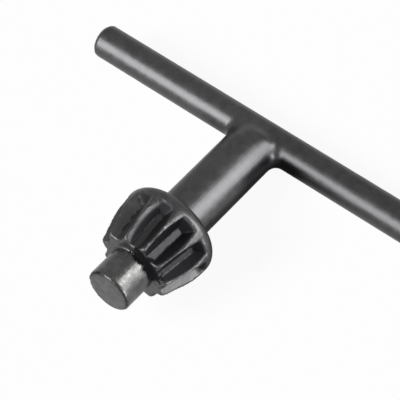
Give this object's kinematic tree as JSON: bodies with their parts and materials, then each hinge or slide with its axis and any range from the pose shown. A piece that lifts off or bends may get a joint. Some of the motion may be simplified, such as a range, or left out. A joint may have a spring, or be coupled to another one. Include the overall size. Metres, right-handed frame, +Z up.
{
  "type": "drill chuck key",
  "caption": "T-handled key for a geared drill chuck, forged in dark steel: a pilot pin and a bevel gear end the shank, and a plain round bar crosses its head.",
  "frame": {"origin": "middle of the key's footprint, on the surface that it lies on", "axes": "+X level, from the handle bar towards the pilot's end; +Y level, along the handle bar; +Z up"},
  "size_m": [0.0432, 0.0702, 0.0171],
  "materials": {
    "steel": "black oxide, satin, rubbed brighter on the tooth edges"
  },
  "bodies": {
    "root": {"chuck_key": "steel"}
  },
  "joints": []
}
